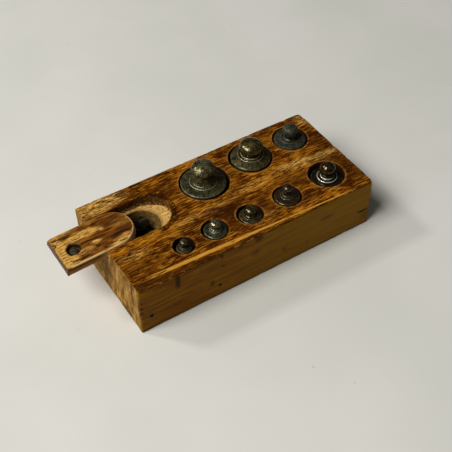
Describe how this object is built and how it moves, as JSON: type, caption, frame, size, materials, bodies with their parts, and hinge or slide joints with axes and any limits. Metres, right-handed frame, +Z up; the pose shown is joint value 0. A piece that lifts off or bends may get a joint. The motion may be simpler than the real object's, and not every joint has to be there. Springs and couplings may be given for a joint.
{
  "type": "boxed knob weight set",
  "caption": "Wooden block with bored wells for turned brass knob weights and a dovetail lid sliding over a pocket of small square leaf weights.",
  "frame": {"origin": "centre of the wooden block's bottom face", "axes": "+X along the block, away from the sliding lid; +Y towards the row of large weights; +Z up, out of the bores"},
  "size_m": [0.1266, 0.0522, 0.0345],
  "materials": {
    "varnished_wood": "worn amber varnish with dark streaks",
    "lid_wood": "worn amber varnish, paler than the block",
    "aged_brass": "dark mottled patina, bright where rubbed",
    "grey_brass": "dull grey patina",
    "adjusting_metal": "dull",
    "dull_aluminium": "satin"
  },
  "bodies": {
    "block": {"wood_block": "varnished_wood"},
    "lid": {"sliding_lid": "lid_wood", "lid_pin": "aged_brass"},
    "weight_50g": {"weight_50g_body": "aged_brass", "weight_50g_knob": "aged_brass", "weight_50g_adjusting_slug": "adjusting_metal"},
    "weight_20g": {"weight_20g_body": "aged_brass", "weight_20g_knob": "aged_brass", "weight_20g_adjusting_slug": "adjusting_metal"},
    "weight_10g_back": {"weight_10g_back": "grey_brass"},
    "weight_10g_front": {"weight_10g_front_body": "aged_brass", "weight_10g_front_knob": "aged_brass", "weight_10g_front_adjusting_slug": "adjusting_metal"},
    "weight_5g": {"weight_5g": "aged_brass"},
    "weight_2g_left": {"weight_2g_left": "aged_brass"},
    "weight_2g_right": {"weight_2g_right": "aged_brass"},
    "weight_1g": {"weight_1g": "aged_brass"},
    "leaf_500mg": {"leaf_weight_500mg": "aged_brass"},
    "leaf_200mg": {"leaf_weight_200mg": "aged_brass"},
    "leaf_100mg": {"leaf_weight_100mg": "aged_brass"},
    "leaf_50mg": {"leaf_weight_50mg": "dull_aluminium"}
  },
  "joints": [
    {"name": "lid_slide", "type": "slide", "parent": "block", "child": "lid", "axis": [-1, 0, 0], "range_m": [-0.016, 0.018]},
    {"name": "weight_50g_lift", "type": "slide", "parent": "block", "child": "weight_50g", "axis": [0, 0, 1], "range_m": [0, 0.024]},
    {"name": "weight_20g_lift", "type": "slide", "parent": "block", "child": "weight_20g", "axis": [0, 0, 1], "range_m": [0, 0.014]},
    {"name": "weight_10g_back_lift", "type": "slide", "parent": "block", "child": "weight_10g_back", "axis": [0, 0, 1], "range_m": [0, 0.012]},
    {"name": "weight_10g_front_lift", "type": "slide", "parent": "block", "child": "weight_10g_front", "axis": [0, 0, 1], "range_m": [0, 0.014]},
    {"name": "weight_5g_lift", "type": "slide", "parent": "block", "child": "weight_5g", "axis": [0, 0, 1], "range_m": [0, 0.011]},
    {"name": "weight_2g_left_lift", "type": "slide", "parent": "block", "child": "weight_2g_left", "axis": [0, 0, 1], "range_m": [0, 0.008]},
    {"name": "weight_2g_right_lift", "type": "slide", "parent": "block", "child": "weight_2g_right", "axis": [0, 0, 1], "range_m": [0, 0.008]},
    {"name": "weight_1g_lift", "type": "slide", "parent": "block", "child": "weight_1g", "axis": [0, 0, 1], "range_m": [0, 0.008]},
    {"name": "leaf_500mg_lift", "type": "slide", "parent": "block", "child": "leaf_500mg", "axis": [0, 0, 1], "range_m": [0, 0.014]},
    {"name": "leaf_200mg_lift", "type": "slide", "parent": "leaf_500mg", "child": "leaf_200mg", "axis": [0, 0, 1], "range_m": [0, 0.012]},
    {"name": "leaf_100mg_lift", "type": "slide", "parent": "leaf_500mg", "child": "leaf_100mg", "axis": [0, 0, 1], "range_m": [0, 0.012]},
    {"name": "leaf_50mg_lift", "type": "slide", "parent": "leaf_200mg", "child": "leaf_50mg", "axis": [0, 0, 1], "range_m": [0, 0.012]}
  ]
}
